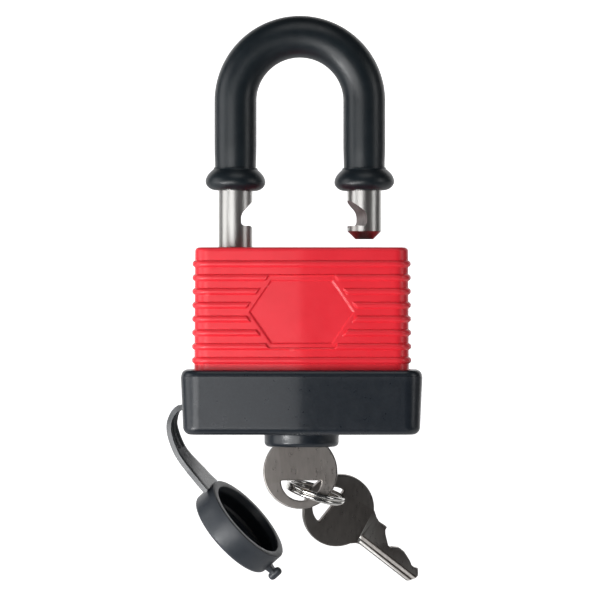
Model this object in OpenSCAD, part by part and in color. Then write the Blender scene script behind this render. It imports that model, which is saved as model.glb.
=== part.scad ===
// Weatherproof laminated padlock, 50 mm class, standing open with its key turned in the lock.
//
// Lengths are in millimetres and +Z is up. The body is laid out from the underside of its base
// cover, on the axis of the key plug. in_frame() then carries every piece into the part's own
// frame, whose origin is the highest point inside the shackle, where the lock hangs on a staple.
// The shackle is drawn lifted, and the key is drawn turned, with both latches drawn back.

/* [Shackle] */
// Diameter of the bare steel rod
rod_d = 8.9; // [8:0.1:9.4]
// Distance of the heel leg's axis from the middle of the body
heel_offset = 17.3; // [16.8:0.1:17.6]
// Distance of the toe leg's axis from the middle of the body
toe_offset = 16.4; // [16.2:0.1:17.4]
// Height of the crown, over the vinyl sleeve, with the shackle lifted
crown_h = 109.4; // [100:0.1:120]
// Diameter over the vinyl sleeve
sleeve_d = 11; // [10:0.1:12]
// Diameter of the round seal at each end of the sleeve
seal_d = 15.7; // [14:0.1:17]
// How far the shackle rises when it opens
lift = 14.5; // [14:0.1:14.6]

/* [Body] */
// Width of the plastic jacket between its ribs
jacket_w = 56; // [55:0.1:57]
// Front to back size of the jacket at its corners
jacket_side_d = 28.6; // [28:0.1:29.4]
// Front to back size of the jacket on its middle ridge
jacket_mid_d = 31; // [30:0.1:32]
// Height of the top of the jacket
jacket_top = 48.7; // [48.2:0.1:49.2]
// Number of ribs round the jacket
ribs = 8; // [4:1:8]
// Distance from one rib to the next
rib_pitch = 3.58; // [3.2:0.02:3.6]
// How far the ribs stand out
rib_out = 0.65; // [0.3:0.05:0.8]
// Width of the base cover at its top
base_w = 62.8; // [62:0.1:64]
// Front to back size of the base cover at its corners
base_side_d = 34.4; // [34:0.1:36]
// Front to back size of the base cover on its middle ridge
base_mid_d = 36.8; // [36.4:0.1:38]
// Height of the base cover
base_h = 16.8; // [15:0.1:18]
// Diameter of the boss round the keyway
boss_d = 19.5; // [19:0.1:20]
// How far the boss stands down
boss_h = 3.4; // [2:0.1:4]

/* [Steel stack] */
// Width of the steel plates
plate_w = 50; // [48:0.5:50.5]
// Front to back size of the steel plates
plate_d = 26; // [25.5:0.1:26.4]
// Thickness of one plate
plate_t = 2; // [2:2]

/* [Key and cylinder] */
// Diameter of the key plug
plug_d = 11; // [10.8:0.1:11.2]
// Diameter of the round bow of a key
bow_d = 19.5; // [19:0.1:20]
// Thickness of a key
key_t = 1.9; // [1.7:0.1:1.9]
// Number of pin stacks
pins = 4; // [2:1:4]
// Outside diameter of the split ring
ring_d = 16.3; // [15.8:0.1:16.5]

/* [Dust cap] */
// Outside diameter of the dust cap
cap_d = 26; // [25.6:0.1:26.4]
// Height of the dust cap
cap_h = 7; // [6.6:0.1:7.4]
// Thickness of its strap
strap_t = 1.55; // [1.3:0.05:1.7]

/* [Hidden] */

$fn = 48;
eps = 0.01;
run_gap = 0.06;        // radial clearance of a running fit
loose_gap = 0.3;       // radial clearance of a hole that does not guide

rod_r = rod_d / 2;
heel_x = -heel_offset;
toe_x = toe_offset;
arch_r = (heel_offset + toe_offset) / 2;
arch_x = (toe_offset - heel_offset) / 2;
arch_z = crown_h - arch_r - sleeve_d / 2;
eye_z = crown_h - sleeve_d;

// Heights in the steel stack, from the bottom plate up
stack_z = 2;
cylinder_z = stack_z + plate_t;
clip_z = cylinder_z + 9 * plate_t;
spacer_z = clip_z + plate_t;
cam_z = spacer_z + 7 * plate_t;
latch_z = cam_z + plate_t;
top_z = latch_z + 2 * plate_t;
top_t = 2.5;
stack_top = top_z + top_t;
rivet_x = 21.6;
rivet_y = 9.4;
rivet_r = 2;
rivet_head_r = 3.1;
play = 0.05;           // gap under and over a piece that slides between plates

// Ribs and hexagon panels of the jacket
rib_h = 1.4;
first_rib_down = 4.3;  // from the top of the jacket to the middle of its first rib
panel_z = 31.9;
panel_half_w = 13.7;   // half width at the side corners
panel_edge = 8;        // half length of the level edges
panel_half_h = 8.3;
panel_margin = 1.15;   // smooth band left round each panel

// Shackle legs, lifted
ledge_z = latch_z - 0.1 + lift;    // the flat of each notch, which a latch catches
notch_h = 2.6;
notch_slope_h = 3.2;
notch_depth = 3;
toe_notch_depth = 3.75;
toe_notch_turn = 18;   // the toe notch is milled turned towards the front
toe_tip_z = 50.9;
toe_chamfer = 2.1;
heel_end_z = 36.7;
heel_head_h = 3;
heel_neck_r = 2.2;
heel_neck_h = 3.1;
heel_bore_z = 8;
cup_h = 2.2;           // height of the spring cup's head

seal_r = seal_d / 2;
seal_z = 66.6;
seal_tube_r = 3.2;
sleeve_end_z = 69.6;

// Latches
latch_throw = 2.3;
cam_pin_r = 0.8;
cam_disc_r = 3.4;
shaft_r = 2.5;
cam_pin_at = latch_throw / 2 * sqrt(2);
nose_gap = 0.4;
nose_w = 5;
latch_w = 12;
latch_h = 2 * plate_t - 2 * play;
heel_nose_x = heel_x + rod_r + nose_gap;
toe_nose_x = toe_x - rod_r - nose_gap;
shoulder_x = 7.7;
arm_reach = 3.2;
seat_near = 1.2;       // bottoms of the two spring seats, from the cam's axis
seat_far = 6.9;
seat_y = 4.3;
seat_r = 1.35;

// Cylinder
plug_r = plug_d / 2;
shell_r = 8.2;
shell_neck_r = 7.6;
shell_base_z = 1.5;
plug_face_z = 3.3;
flange_r = 6.3;
flange_h = 1.2;
plug_neck_r = 4.5;
plug_neck_h = 1.1;
plug_top_z = clip_z + plate_t - 0.1;
keyway_h = 8.3;
pin_r = 1.3;
chamber_r = pin_r + run_gap;
pin_pitch = 3;
driver_len = 3;
chamber_end = 11.2;
cover_t = 0.8;

// Keys: the blade runs up from the bow's centre, and its cuts face -X
bow_r = bow_d / 2;
key_x = -0.35;
key_z = -9.95;
blade_back = 3.57;     // the blade's back edge, from the axis of the bow
shoulder_u = 13.2;     // the shoulder's distance from the bow's centre
first_pin_u = 17.7;
tip_u = 29.3;
CUTS = [4.4, 5.76, 5.1, 4.1];      // blade height left at each pin

// Split ring: it hangs through the slots of both keys
ring_wire = 1.2;
ring_at = [3.7, 4, -15.5];
ring_dip = 17;
ring_tip_back = 7;

// Spare key: where its bow's centre lies, and how its plate is turned
spare_at = [9.6, 11.7, -20.4];
spare_lean = -20;
spare_roll = 128.5;

// Dust cap: the middle of its mouth, and the way it faces
cap_at = [-13.95, 0, -22.25];
cap_roll = 47.7;
cap_tilt = 16;
cap_r = cap_d / 2;
cap_wall = 2.05;
cap_floor = 1.5;
strap_root = [-30.3, 7];
strap_bead_r = 1.25;
socket_r = 1.4;
strap_root_w = 6.4;
// Front edge of the strap from its root to the cap: [x, z, width, twist]
STRAP = [
    [-31.9, 6.85, 6.4, 0], [-32.8, 6.3, 6.4, 4], [-33.8, 5.1, 6.4, 9], [-34.6, 3.1, 6.6, 13],
    [-34.7, 0.9, 6.8, 16], [-34.1, -1.8, 7.2, 17], [-32.8, -5.0, 7.8, 17.5],
    [-31.3, -7.4, 8.4, 18], [-29.7, -9.5, 9.2, 18], [-28.2, -11.3, 10.2, 17],
    [-26.6, -13.2, 11.2, 16], [-25.0, -15.0, 12, 16]
];

module in_frame() {
    translate([-arch_x, 0, -eye_z]) children();
}

// ---- Shared shapes ----

// Rounded six-sided outline: flat ends at x = +-a, and two long faces that meet on a middle ridge
function corner_arc(a, b, r, n = 6) =
    [for (i = [0:n]) let (t = 87 * i / n) [a - r + r * cos(t), b - r + r * sin(t)]];
function outline(a, b, c, r) = let (q = corner_arc(a, b, r), m = len(q) - 1) concat(
    q, [[0, c]],
    [for (i = [m:-1:0]) [-q[i][0], q[i][1]]],
    [for (i = [0:m]) [-q[i][0], -q[i][1]]], [[0, -c]],
    [for (i = [m:-1:0]) [q[i][0], -q[i][1]]]
);
function at_z(pts, z) = [for (p = pts) [p[0], p[1], z]];

// Closed solid through rings of points that all have the same number of points.
// Each side of a twisted solid is two triangles.
module loft(rings, twisted = false) {
    n = len(rings[0]);
    k = len(rings);
    quads = [for (j = [0:k - 2], i = [0:n - 1])
        [j * n + i, (j + 1) * n + i, (j + 1) * n + (i + 1) % n, j * n + (i + 1) % n]];
    sides = twisted ? [for (q = quads) each [[q[0], q[1], q[2]], [q[0], q[2], q[3]]]] : quads;
    bottom = [for (i = [0:n - 1]) i];
    top = [for (i = [n - 1:-1:0]) (k - 1) * n + i];
    polyhedron([for (r = rings) each r], concat(sides, [bottom, top]), convexity = 6);
}

// Helical spring that stands on the XY plane: mean radius, wire radius, height, turns
module coil(mean_r, wire_r, h, turns, per_turn = 12, sides = 6) {
    rise = h - 2 * wire_r;
    steps = turns * per_turn;
    rings = [for (k = [0:steps]) let (a = 360 * k / per_turn, z = wire_r + rise * k / steps)
        [for (s = [0:sides - 1]) let (t = 360 * s / sides, r = mean_r + wire_r * cos(t))
            [r * cos(a), r * sin(a), z + wire_r * sin(t)]]];
    loft([for (r = rings) [for (i = [sides - 1:-1:0]) r[i]]], twisted = true);
}

module rounded_plate(w, d, t, r = 3) {
    linear_extrude(t) union() {
        square([w - 2 * r, d], center = true);
        square([w, d - 2 * r], center = true);
        for (x = [-1, 1], y = [-1, 1]) translate([x * (w / 2 - r), y * (d / 2 - r)]) circle(r);
    }
}

// Hexagon panel on the front and back of the jacket, grown by a margin
module panel(margin, d) {
    k = 1 + margin / panel_half_h;
    rotate([90, 0, 0]) linear_extrude(d, center = true)
        polygon(k * [[panel_half_w, 0], [panel_edge, panel_half_h], [-panel_edge, panel_half_h],
            [-panel_half_w, 0], [-panel_edge, -panel_half_h], [panel_edge, -panel_half_h]]);
}

// ---- Plastic cover ----

module jacket() {
    a = jacket_w / 2;
    b = jacket_side_d / 2;
    c = jacket_mid_d / 2;
    first_rib = jacket_top - first_rib_down;
    draft = 0.3;
    in_frame() color("crimson") difference() {
        union() {
            loft([
                at_z(outline(a, b, c, 4), stack_z + 0.1),
                at_z(outline(a - draft, b - draft, c - draft, 4), jacket_top - 1),
                at_z(outline(a - draft - 0.3, b - draft - 0.3, c - draft - 0.3, 4), jacket_top - 0.3),
                at_z(outline(a - draft - 1, b - draft - 1, c - draft - 1, 3.6), jacket_top)
            ]);
            difference() {
                for (i = [0:ribs - 1]) let (out = rib_out - draft * (1 - i / ribs))
                    translate([0, 0, first_rib - i * rib_pitch]) linear_extrude(rib_h, center = true)
                        polygon(outline(a + out, b + out, c + out, 4.4));
                translate([0, 0, panel_z]) panel(panel_margin, 60);
            }
        }
        // room for the steel stack
        translate([0, 0, stack_z - 1])
            rounded_plate(plate_w + 0.3, plate_d + 0.2, stack_top + 0.05 - stack_z + 1, 3);
        // legs of the shackle
        for (x = [heel_x, toe_x]) translate([x, 0, stack_top - 1])
            cylinder(h = 5, r = rod_r + loose_gap);
        // sunk hexagon panels
        for (s = [-1, 1]) translate([0, s * (c + 19.3), panel_z]) panel(0, 40);
    }
}

module base_cover() {
    a = base_w / 2;
    b = base_side_d / 2;
    c = base_mid_d / 2;
    in_frame() color("dimgray") difference() {
        union() {
            loft([
                at_z(outline(a - 1.7, b - 1.7, c - 1.7, 4), 0),
                at_z(outline(a - 0.7, b - 0.7, c - 0.7, 4.6), 1),
                at_z(outline(a, b, c, 5), base_h - 1.7),
                at_z(outline(a - 0.5, b - 0.5, c - 0.5, 5), base_h - 0.5),
                at_z(outline(a - 1.1, b - 1.1, c - 1.1, 4.6), base_h)
            ]);
            translate([0, 0, -boss_h + 1.2]) cylinder(h = boss_h, d = boss_d);
            translate([0, 0, -boss_h]) cylinder(h = 1.2, d1 = boss_d - 2, d2 = boss_d);
        }
        // cup for the jacket and the stack
        translate([0, 0, stack_z]) linear_extrude(base_h)
            polygon(outline(jacket_w / 2 + 0.1, jacket_side_d / 2 + 0.1, jacket_mid_d / 2 + 0.1, 4));
        // keyway mouth
        translate([0, 0, -boss_h - 1]) cylinder(h = boss_h + 6, r = shell_r + 0.05);
        // socket for the bead of the cap's strap
        translate([strap_root[0], 0, strap_root[1]]) rotate([90, 0, 0])
            cylinder(h = strap_root_w + 0.6, r = socket_r, center = true);
        translate([strap_root[0], 0, strap_root[1]]) rotate([90, 0, 0])
            linear_extrude(strap_root_w + 0.6, center = true)
                polygon([[-0.3, 0.7], [-4, 5.2], [-4, -5.2], [-0.3, -0.7]]);
    }
}

// ---- Steel stack ----

module rivet_holes(z, h) {
    for (x = [-1, 1], y = [-1, 1]) translate([x * rivet_x, y * rivet_y, z - 1])
        cylinder(h = h + 2, r = rivet_r + 0.05);
}

// Bore of one leg, open over its height
module leg_bore(x, z, h, gap) {
    translate([x, 0, z]) cylinder(h = h, r = rod_r + gap);
}

// A number of plates from height z up, each a bevelled steel stamping with the same holes
module plates(z, count, t = plate_t) {
    bevel = 0.25;
    difference() {
        for (i = [0:count - 1]) translate([0, 0, z + i * t]) {
            rounded_plate(plate_w - 2 * bevel, plate_d - 2 * bevel, t, 3);
            translate([0, 0, bevel]) rounded_plate(plate_w, plate_d, t - 2 * bevel, 3);
        }
        rivet_holes(z, count * t);
        children();
    }
}

module bottom_plate() {
    in_frame() color("silver") plates(stack_z, 1) {
        translate([0, 0, stack_z - 1]) cylinder(h = 5, r = shell_neck_r + 0.05);
        rivet_sinks(stack_z, 1);
    }
}

module cylinder_plates() {
    in_frame() color("silver") plates(cylinder_z, 9) {
        translate([0, 0, cylinder_z - 1]) cylinder(h = 30, r = shell_r + 0.05);
        translate([-2.75, 0, cylinder_z - 1]) cube([5.5, chamber_end + cover_t + 0.1, 30]);
        leg_bore(heel_x, heel_bore_z, 40, loose_gap);
    }
}

module clip_plate() {
    in_frame() color("silver") plates(clip_z, 1) {
        translate([0, 0, clip_z - 1]) cylinder(h = 5, r = 7.4);
        leg_bore(heel_x, clip_z - 1, 5, loose_gap);
    }
}

module spacer_plates() {
    in_frame() color("silver") plates(spacer_z, 7) {
        translate([0, 0, spacer_z - 1]) cylinder(h = 30, r = shaft_r + run_gap);
        leg_bore(heel_x, spacer_z - 1, 30, loose_gap);
        leg_bore(toe_x, spacer_z + 5 * plate_t, 30, loose_gap);
    }
}

module cam_plate() {
    in_frame() color("silver") plates(cam_z, 1) {
        translate([0, 0, cam_z - 1]) cylinder(h = 5, r = cam_disc_r + run_gap);
        leg_bore(heel_x, cam_z - 1, 5, loose_gap);
        leg_bore(toe_x, cam_z - 1, 5, loose_gap);
    }
}

module latch_plates() {
    stop_x = shoulder_x + latch_throw + 0.2;
    in_frame() color("silver") plates(latch_z, 2) {
        translate([-stop_x, -latch_w / 2 - 0.1, latch_z - 1]) cube([2 * stop_x, latch_w + 0.2, 9]);
        translate([heel_x, -nose_w / 2 - play, latch_z - 1])
            cube([toe_x - heel_x, nose_w + 2 * play, 9]);
        leg_bore(heel_x, latch_z - 1, 9, loose_gap);
        leg_bore(toe_x, latch_z - 1, 9, loose_gap);
    }
}

module top_plate() {
    in_frame() color("silver") plates(top_z, 1, top_t) {
        leg_bore(heel_x, top_z - 1, 5, 0.09);
        leg_bore(toe_x, top_z - 1, 5, 0.09);
        rivet_sinks(stack_top, -1);
    }
}

// Countersinks of the four rivets, opening away from the stack
module rivet_sinks(z, up) {
    for (x = [-1, 1], y = [-1, 1]) translate([x * rivet_x, y * rivet_y, z])
        mirror([0, 0, up < 0 ? 1 : 0]) cylinder(h = 1.2, r1 = rivet_head_r + 0.1, r2 = rivet_r);
}

module body_rivets() {
    in_frame() color("gainsboro")
        for (x = [-1, 1], y = [-1, 1]) translate([x * rivet_x, y * rivet_y, 0]) {
            translate([0, 0, stack_z]) cylinder(h = stack_top - stack_z, r = rivet_r);
            translate([0, 0, stack_z]) cylinder(h = 1.1, r1 = rivet_head_r, r2 = rivet_r);
            translate([0, 0, stack_top - 1.1]) cylinder(h = 1.1, r1 = rivet_r, r2 = rivet_head_r);
        }
}

// ---- Cylinder ----

function pin_z(i) = key_z + first_pin_u + i * pin_pitch;

module cylinder_shell() {
    in_frame() color("goldenrod") difference() {
        union() {
            translate([0, 0, cylinder_z]) cylinder(h = clip_z - cylinder_z, r = shell_r);
            translate([0, 0, shell_base_z]) cylinder(h = 3, r = shell_neck_r);
            translate([-2.7, 0, cylinder_z]) cube([5.4, chamber_end, clip_z - cylinder_z]);
        }
        cylinder(h = 40, r = plug_r + run_gap);
        cylinder(h = plug_face_z + flange_h + play, r = flange_r + run_gap);
        for (i = [0:pins - 1]) translate([0, 0, pin_z(i)]) rotate([-90, 0, 0])
            cylinder(h = 20, r = chamber_r);
    }
}

module pin_cover() {
    in_frame() color("goldenrod")
        translate([-2.4, chamber_end, cylinder_z + 0.2]) cube([4.8, cover_t, 17]);
}

module driver_pins() {
    in_frame() color("gold")
        for (i = [0:pins - 1]) translate([0, plug_r + 0.1, pin_z(i)]) rotate([-90, 0, 0])
            cylinder(h = driver_len, r = pin_r);
}

module pin_springs() {
    start = plug_r + 0.1 + driver_len;
    in_frame() color("lightgray")
        for (i = [0:pins - 1]) translate([0, start + 0.02, pin_z(i)]) rotate([-90, 0, 0])
            coil(0.95, 0.2, chamber_end - start - 0.04, 5, 10, 5);
}

module plug() {
    slot_x = key_x + blade_back + 0.15;
    in_frame() color("darkgoldenrod") difference() {
        union() {
            translate([0, 0, plug_face_z]) cylinder(h = flange_h, r = flange_r);
            translate([0, 0, plug_face_z]) cylinder(h = clip_z - plug_face_z, r = plug_r);
            translate([0, 0, clip_z - 1]) cylinder(h = plug_neck_h + 1, r = plug_neck_r);
            translate([0, 0, clip_z + plug_neck_h])
                cylinder(h = plug_top_z - clip_z - plug_neck_h, r = plug_r - 0.3);
        }
        // keyway
        translate([slot_x - keyway_h, -key_t / 2 - 0.1, plug_face_z - 1])
            cube([keyway_h, key_t + 0.2, 17.6]);
        // chambers of the key pins
        for (i = [0:pins - 1]) translate([0, 0, pin_z(i)]) rotate([0, -90, 0])
            cylinder(h = 8, r = chamber_r);
        // slot for the tongue of the drive cam
        translate([-4, -1.05, clip_z + 0.3]) cube([8, 2.1, 5]);
    }
}

module plug_clip() {
    in_frame() color("silver") translate([0, 0, clip_z + 0.15]) difference() {
        cylinder(h = 0.8, r = 6.8);
        translate([0, 0, -1]) cylinder(h = 3, r = plug_neck_r + 0.1);
        translate([-3.4, -8, -1]) cube([6.8, 8, 3]);
    }
}

// Each key pin stands in its cut, with its outer end just inside the plug's surface
module key_pins() {
    in_frame() color("gold")
        for (i = [0:pins - 1]) {
            foot = CUTS[i] - blade_back - key_x + 0.18;
            translate([0, 0, pin_z(i)]) rotate([0, -90, 0]) {
                translate([0, 0, foot]) cylinder(h = 0.7, r1 = 0.3, r2 = pin_r);
                translate([0, 0, foot + 0.7]) cylinder(h = plug_r - 0.9 - foot, r = pin_r);
            }
        }
}

// Round shaft with a tongue that the plug turns, and a disc whose two pins move the latches
module drive_cam() {
    in_frame() color("lightgray") {
        translate([0, 0, clip_z + 0.4]) intersection() {
            translate([-cam_disc_r, -0.95, 0]) cube([2 * cam_disc_r, 1.9, plate_t - 0.43]);
            cylinder(h = 5, r = cam_disc_r);
        }
        translate([0, 0, plug_top_z + play]) cylinder(h = cam_z - plug_top_z, r = shaft_r);
        translate([0, 0, cam_z + play]) cylinder(h = plate_t - 2 * play, r = cam_disc_r);
        for (a = [-45, 135]) rotate([0, 0, a]) translate([cam_pin_at, 0, latch_z - 0.2])
            cylinder(h = 3.6, r = cam_pin_r);
    }
}

// ---- Keys ----

// Outline of a key, with its bow's centre at the origin and its blade along +Y, cuts facing -X
module key_outline() {
    b = blade_back;
    difference() {
        union() {
            circle(bow_r);
            polygon([[0, 0], [5.4, 7.9], [b + 0.4, 9.6], [b, 11.2], [b, tip_u - 1.9],
                [b - 2.2, tip_u], [b - 3.4, tip_u - 0.4], [b - 4.5, tip_u - 1.4],
                [b - CUTS[3], first_pin_u + 9.5],
                [b - CUTS[3], first_pin_u + 8.3], [b - CUTS[2] + 0.4, first_pin_u + 7.2],
                [b - CUTS[2], first_pin_u + 6.2], [b - CUTS[1], first_pin_u + 4.1],
                [b - CUTS[1], first_pin_u + 2.4], [b - 4.9, first_pin_u + 0.9],
                [b - CUTS[0], first_pin_u + 0.5], [b - CUTS[0], first_pin_u - 0.5],
                [b - 5, first_pin_u - 1.3], [b - 6.4, shoulder_u + 1.3],
                [b - 7.2, shoulder_u + 0.6], [b - 8, shoulder_u + 0.5], [b - 8.1, shoulder_u],
                [b - 7.9, shoulder_u - 2.2], [b - 9.4, 8], [b - 10, 4]]);
        }
        key_slot();
    }
}

// D-shaped slot: a half disc with its flat side towards the blade
module key_slot() {
    intersection() {
        translate([0.2, -2.3]) circle(5.25);
        translate([-10, -12.3]) square([20, 10]);
    }
}

// Solid key in the XZ plane, blade up, with a lengthwise groove on its front face
module key_solid() {
    difference() {
        rotate([90, 0, 0]) linear_extrude(key_t, center = true) key_outline();
        translate([blade_back - 2.7, -key_t / 2 - 1, shoulder_u - 1.6]) cube([1.5, 1.55, 30]);
    }
}

module lock_key() {
    in_frame() color("rosybrown") translate([key_x, 0, key_z]) key_solid();
}

module spare_key() {
    in_frame() color("gray") translate(spare_at) rotate([0, spare_roll, 0]) rotate([spare_lean, 0, 0])
        key_solid();
}

module split_ring() {
    r = (ring_d - ring_wire) / 2;
    in_frame() color("silver") translate(ring_at) rotate([0, ring_dip, 0])
        rotate([ring_tip_back, 0, 0]) rotate_extrude() {
            translate([r, ring_wire / 2 - 0.05]) circle(ring_wire / 2);
            translate([r, -ring_wire / 2 + 0.05]) circle(ring_wire / 2);
        }
}

// ---- Latches ----

// Latch bolt that points along -X: its nose tip at x = tip, its arm on the -Y side
module latch(tip) {
    difference() {
        union() {
            translate([-shoulder_x, -latch_w / 2, 0]) cube([shoulder_x - 4.6, latch_w, latch_h]);
            translate([-5, -latch_w / 2, 0]) cube([5 + arm_reach, latch_w / 2 - 0.12, latch_h]);
            rotate([90, 0, 0]) linear_extrude(nose_w, center = true) polygon([
                [tip, 0], [-6, 0], [-6, latch_h], [tip + 1.6, latch_h], [tip, latch_h - 1.6]
            ]);
        }
        // slot for the cam pin
        translate([cam_pin_at * cos(45) - cam_pin_r - 0.12, -2.7, -1])
            cube([2 * cam_pin_r + 0.24, 4, latch_h + 2]);
        // seats of the springs that push the two bolts apart
        translate([-seat_near, -seat_y, latch_h / 2]) rotate([0, 90, 0]) cylinder(h = 9, r = seat_r);
        translate([-seat_far, seat_y, latch_h / 2]) rotate([0, 90, 0]) cylinder(h = 4, r = seat_r);
    }
}

module heel_latch() {
    in_frame() color("darkgray") translate([0, 0, latch_z + play]) latch(heel_nose_x);
}

module toe_latch() {
    in_frame() color("darkgray") translate([0, 0, latch_z + play]) rotate([0, 0, 180])
        latch(-toe_nose_x);
}

module latch_spring() {
    in_frame() color("lightgray") for (s = [0, 180]) rotate([0, 0, s])
        translate([play - seat_near, -seat_y, latch_z + play + latch_h / 2]) rotate([0, 90, 0])
            coil(0.95, 0.22, seat_near + seat_far - 2 * play, 6, 10, 5);
}

// ---- Shackle ----

module shackle_spring() {
    in_frame() color("lightgray") translate([heel_x, 0, heel_bore_z + play])
        coil(3.6, 0.5, heel_end_z - cup_h - heel_bore_z - 2 * play, 9);
}

module spring_cup() {
    in_frame() color("silver") translate([heel_x, 0, 0]) {
        translate([0, 0, heel_end_z - cup_h]) cylinder(h = cup_h - play, r = rod_r - 0.1);
        translate([0, 0, heel_end_z - cup_h - 3]) cylinder(h = 3.1, r = 2.6);
    }
}

// Half torus and two straight legs, from leg heights z_heel and z_toe up
module hoop(r, z_heel, z_toe) {
    translate([arch_x, 0, arch_z]) rotate([90, 0, 0])
        rotate_extrude(angle = 180) translate([arch_r, 0]) circle(r);
    translate([heel_x, 0, z_heel]) cylinder(h = arch_z - z_heel, r = r);
    translate([toe_x, 0, z_toe]) cylinder(h = arch_z - z_toe, r = r);
}

// Catch notch that faces +X on a leg that stands on the origin
module notch(depth) {
    x = rod_r - depth;
    slope = notch_slope_h / notch_depth;
    rotate([90, 0, 0]) linear_extrude(12, center = true) polygon([
        [x, ledge_z], [x + 8, ledge_z], [x + 8, ledge_z + notch_h + 8 * slope],
        [x, ledge_z + notch_h]
    ]);
}

module shackle() {
    neck_z = heel_end_z + heel_head_h;
    neck_out = rod_r + 1;
    in_frame() color("lightsteelblue") difference() {
        union() {
            difference() {
                hoop(rod_r, heel_end_z, toe_tip_z + toe_chamfer);
                // round neck that lets the heel latch spring out while the shackle is up
                translate([heel_x, 0, 0]) rotate_extrude() polygon([
                    [heel_neck_r, neck_z], [neck_out, neck_z],
                    [neck_out, neck_z + heel_neck_h + neck_out - heel_neck_r],
                    [heel_neck_r, neck_z + heel_neck_h]
                ]);
            }
            translate([toe_x, 0, toe_tip_z])
                cylinder(h = toe_chamfer, r1 = rod_r - toe_chamfer, r2 = rod_r);
        }
        translate([heel_x, 0, 0]) notch(notch_depth);
        translate([toe_x, 0, 0]) rotate([0, 0, 180 + toe_notch_turn]) notch(toe_notch_depth);
    }
}

module shackle_sleeve() {
    in_frame() color("dimgray") difference() {
        hoop(sleeve_d / 2, sleeve_end_z, sleeve_end_z);
        hoop(rod_r + 0.02, sleeve_end_z - 1, sleeve_end_z - 1);
    }
}

module shackle_seals() {
    in_frame() color("dimgray")
        for (x = [heel_x, toe_x]) translate([x, 0, 0]) rotate_extrude() difference() {
            translate([seal_r - seal_tube_r, seal_z]) circle(seal_tube_r);
            translate([-1, seal_z - 10]) square([1 + rod_r + 0.02, 20]);
            translate([0, sleeve_end_z]) square([20, 10]);
        }
}

// ---- Dust cap ----

// Carries a cup that opens along +Z from its mouth's middle to where the cap hangs
module hang_cap() {
    translate(cap_at) rotate([0, cap_roll, 0]) rotate([cap_tilt, 0, 0]) children();
}

module dust_cap() {
    in_frame() color("dimgray") hang_cap() {
        rotate_extrude() difference() {
            translate([0, -cap_h]) square([cap_r, cap_h]);
            translate([-1, -cap_h + cap_floor]) square([1 + cap_r - cap_wall, cap_h]);
            polygon([[cap_r - 1, -cap_h - eps], [cap_r + 1, -cap_h - eps], [cap_r + eps, -cap_h + 1]]);
        }
        // pull tab
        translate([cap_r - 1, 0, -cap_h + 1.7]) rotate([0, 90, 0]) {
            cylinder(h = 3, r = 1.5);
            translate([0, 0, 2.9]) sphere(r = 1.7);
        }
    }
}

// Unit vector across the strap, towards the side that its inner face looks
function strap_normal(i) =
    let (a = STRAP[max(i - 1, 0)], b = STRAP[min(i + 1, len(STRAP) - 1)],
        d = [b[0] - a[0], b[1] - a[1]]) [-d[1], d[0]] / norm(d);
function strap_ring(i) =
    let (s = STRAP[i], n = strap_normal(i), y0 = -s[2] / 2 * cos(s[3]),
        w = [n[0] * sin(s[3]), cos(s[3]), n[1] * sin(s[3])] * s[2],
        t = [n[0] * cos(s[3]), -sin(s[3]), n[1] * cos(s[3])] * strap_t / 2,
        p = [s[0], y0, s[1]])
    [p - t, p + w - t, p + w + t, p + t];

module cap_strap() {
    in_frame() color("dimgray") {
        loft([for (i = [0:len(STRAP) - 1]) strap_ring(i)], twisted = true);
        translate([strap_root[0], 0, strap_root[1]]) rotate([90, 0, 0])
            cylinder(h = strap_root_w, r = strap_bead_r, center = true);
        translate([strap_root[0] - 2.2, -strap_root_w / 2, strap_root[1] - 0.45])
            cube([2.2, strap_root_w, 0.9]);
    }
}

jacket();
base_cover();
bottom_plate();
cylinder_plates();
clip_plate();
spacer_plates();
cam_plate();
latch_plates();
top_plate();
body_rivets();
cylinder_shell();
pin_cover();
driver_pins();
pin_springs();
plug();
plug_clip();
key_pins();
drive_cam();
lock_key();
heel_latch();
toe_latch();
latch_spring();
shackle_spring();
spring_cup();
shackle();
shackle_sleeve();
shackle_seals();
dust_cap();
cap_strap();
split_ring();
spare_key();
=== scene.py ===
import math

import bmesh
import bpy
from mathutils import Matrix, Vector


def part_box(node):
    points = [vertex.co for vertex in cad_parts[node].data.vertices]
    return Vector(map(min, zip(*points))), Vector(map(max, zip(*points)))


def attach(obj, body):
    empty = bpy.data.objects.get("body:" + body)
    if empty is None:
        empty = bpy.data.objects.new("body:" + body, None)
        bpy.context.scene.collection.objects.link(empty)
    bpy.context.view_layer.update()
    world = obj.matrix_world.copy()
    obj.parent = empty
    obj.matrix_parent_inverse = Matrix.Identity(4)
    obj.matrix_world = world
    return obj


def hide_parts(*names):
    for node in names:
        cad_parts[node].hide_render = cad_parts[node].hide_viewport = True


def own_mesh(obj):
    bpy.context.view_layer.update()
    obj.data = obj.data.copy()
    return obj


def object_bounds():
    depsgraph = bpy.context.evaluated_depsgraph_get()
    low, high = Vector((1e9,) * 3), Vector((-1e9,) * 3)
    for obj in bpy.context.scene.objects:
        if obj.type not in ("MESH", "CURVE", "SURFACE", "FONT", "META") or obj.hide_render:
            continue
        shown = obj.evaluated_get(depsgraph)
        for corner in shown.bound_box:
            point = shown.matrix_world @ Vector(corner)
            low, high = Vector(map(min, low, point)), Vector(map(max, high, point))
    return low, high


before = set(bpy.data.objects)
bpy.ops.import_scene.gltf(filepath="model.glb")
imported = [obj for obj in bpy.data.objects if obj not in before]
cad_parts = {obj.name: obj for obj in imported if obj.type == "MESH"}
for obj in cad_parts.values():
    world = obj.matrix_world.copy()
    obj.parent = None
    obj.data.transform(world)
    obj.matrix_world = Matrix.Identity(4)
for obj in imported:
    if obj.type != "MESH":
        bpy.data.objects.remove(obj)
cad_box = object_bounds()

MM = 0.001

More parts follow.
